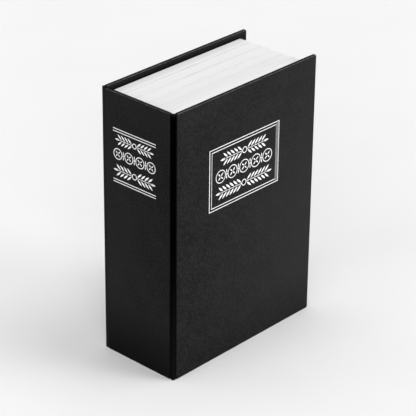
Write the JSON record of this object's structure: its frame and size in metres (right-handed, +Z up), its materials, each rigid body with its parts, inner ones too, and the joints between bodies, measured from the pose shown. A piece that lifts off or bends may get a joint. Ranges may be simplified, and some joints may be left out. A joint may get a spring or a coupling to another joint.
{
  "type": "book diversion safe",
  "caption": "Small steel combination-lock box hidden in the hollowed page block of a black hardback book, with an opening cover and a hinged inner lid.",
  "frame": {"origin": "middle of the book's footprint on the table, as it stands on its tail edge", "axes": "+Z up along the book's height; -Y out of the front cover; -X out of the spine, so +X points to the fore-edge"},
  "size_m": [0.12, 0.057, 0.17],
  "materials": {
    "cover_paper": "matt black covering paper with a fine embossed grain",
    "binders_board": "grey binder's board",
    "endpaper": "smooth black endpaper",
    "page_paper": "white book paper, cut edges",
    "spine_cloth": "open-weave binder's cloth",
    "box_enamel": "black powder coat with a fine texture",
    "hinge_steel": "zinc-plated steel",
    "lock_zinc": "satin die-cast zinc",
    "lock_plastic": "matt black moulded plastic",
    "dial_plastic": "black moulded plastic with white numbers",
    "brass": "turned brass",
    "spring_steel": "bare spring steel"
  },
  "bodies": {
    "root": {"back_board": "binders_board", "back_cover_wrap": "cover_paper", "spine_board": "binders_board", "spine_wrap": "cover_paper", "back_joint": "cover_paper", "front_joint": "cover_paper", "back_endpaper": "endpaper", "spine_lining": "spine_cloth", "page_section_1": "page_paper", "page_section_2": "page_paper", "page_section_3": "page_paper", "page_section_4": "page_paper", "page_section_5": "page_paper", "page_section_6": "page_paper", "box_tray": "box_enamel", "hinge_leaf_box": "hinge_steel", "hinge_pin": "hinge_steel", "hinge_rivet_box_1": "hinge_steel", "hinge_rivet_box_2": "hinge_steel", "hinge_rivet_box_3": "hinge_steel"},
    "front_cover": {"front_board": "binders_board", "front_cover_wrap": "cover_paper", "front_endpaper": "endpaper"},
    "lid": {"lid_plate": "box_enamel", "hinge_leaf_lid": "hinge_steel", "hinge_rivet_lid_1": "hinge_steel", "hinge_rivet_lid_2": "hinge_steel", "hinge_rivet_lid_3": "hinge_steel", "lock_escutcheon": "lock_zinc", "lock_housing": "lock_plastic", "detent_spring": "spring_steel", "lock_screw_1": "hinge_steel", "lock_screw_2": "hinge_steel", "lock_screw_3": "hinge_steel", "lock_screw_4": "hinge_steel"},
    "dial_1": {"number_dial_1": "dial_plastic", "dial_sleeve_1": "brass"},
    "dial_2": {"number_dial_2": "dial_plastic", "dial_sleeve_2": "brass"},
    "dial_3": {"number_dial_3": "dial_plastic", "dial_sleeve_3": "brass"},
    "bolt": {"lock_bolt": "hinge_steel", "slide_carrier": "brass", "carrier_pin": "spring_steel", "thumb_slide": "lock_zinc"}
  },
  "joints": [
    {"name": "cover_open", "type": "hinge", "parent": "root", "child": "front_cover", "pos_m": [-0.0593, -0.0266, 0.085], "axis": [0, 0, -1], "range_deg": [0, 175], "deforming": ["front_joint"]},
    {"name": "lid_open", "type": "hinge", "parent": "root", "child": "lid", "pos_m": [-0.0406, -0.0224, 0.085], "axis": [0, 0, -1], "range_deg": [0, 105]},
    {"name": "dial_1_spin", "type": "hinge", "parent": "lid", "child": "dial_1", "pos_m": [0.0091, -0.0172, 0.085], "axis": [1, 0, 0], "continuous": true},
    {"name": "dial_2_spin", "type": "hinge", "parent": "lid", "child": "dial_2", "pos_m": [0.0151, -0.0172, 0.085], "axis": [1, 0, 0], "continuous": true},
    {"name": "dial_3_spin", "type": "hinge", "parent": "lid", "child": "dial_3", "pos_m": [0.0211, -0.0172, 0.085], "axis": [1, 0, 0], "continuous": true},
    {"name": "bolt_slide", "type": "slide", "parent": "lid", "child": "bolt", "axis": [1, 0, 0], "range_m": [0, 0.006]}
  ],
  "couplings": [
    {"joint": "lid_open", "follows": "cover_open", "ratio": 0.6}
  ]
}
